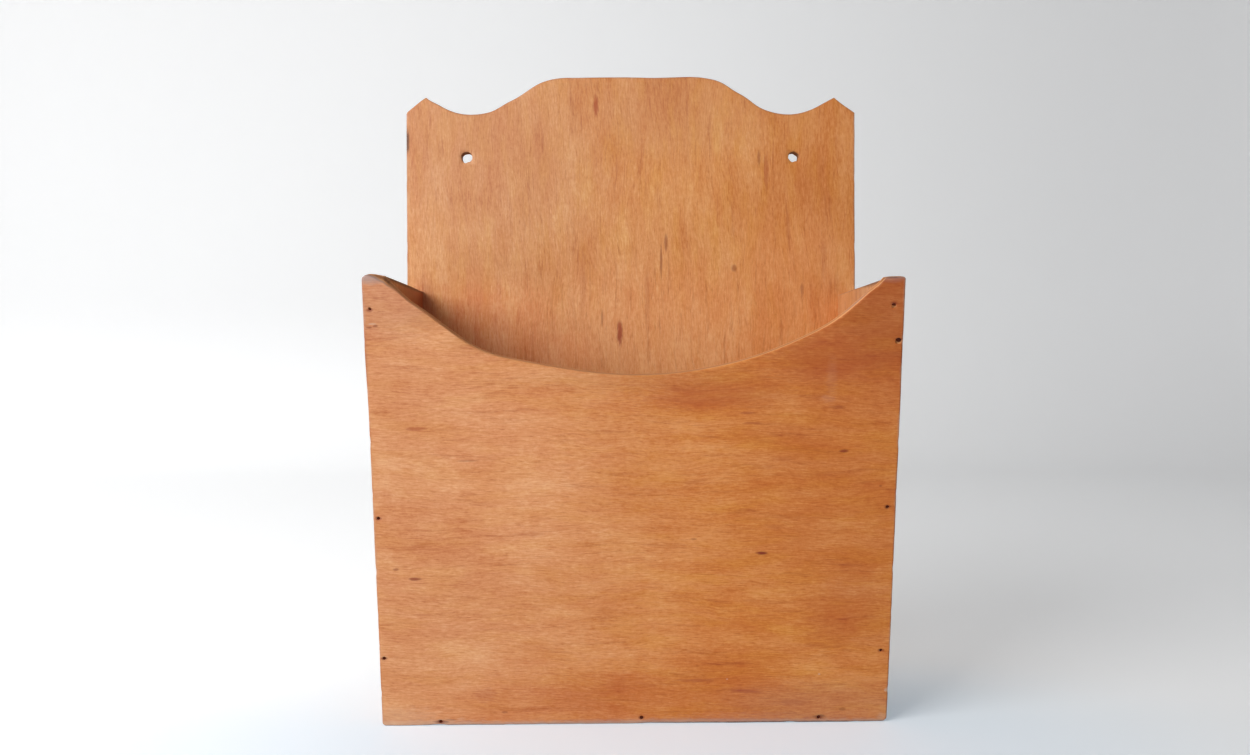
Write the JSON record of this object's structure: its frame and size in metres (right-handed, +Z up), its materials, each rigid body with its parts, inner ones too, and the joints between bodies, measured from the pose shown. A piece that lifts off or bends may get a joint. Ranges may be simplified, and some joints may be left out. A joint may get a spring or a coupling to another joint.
{
  "type": "wall letter holder",
  "caption": "Wooden wall letter holder: a shaped back board with hanging holes carries an open-topped pocket whose scooped front board leans outwards.",
  "frame": {"origin": "under the middle of the whole holder's box, on the surface that it stands on", "axes": "+X to the right as seen from the front, +Y towards the wall, +Z up"},
  "size_m": [0.25, 0.0997, 0.34],
  "materials": {
    "back_plywood": "satin varnish over vertical veneer",
    "front_plywood": "satin varnish over horizontal veneer",
    "side_wood": "satin varnish",
    "bottom_wood": "thin worn varnish",
    "pin_steel": "darkened and lightly rusted"
  },
  "bodies": {
    "root": {"back_panel": "back_plywood", "front_panel": "front_plywood", "left_side": "side_wood", "right_side": "side_wood", "bottom_board": "bottom_wood", "front_pins_left": "pin_steel", "front_pins_right": "pin_steel", "front_pins_bottom": "pin_steel", "back_pins_left": "pin_steel", "back_pins_right": "pin_steel", "back_pins_bottom": "pin_steel", "base_pins_left": "pin_steel", "base_pins_right": "pin_steel"}
  },
  "joints": []
}
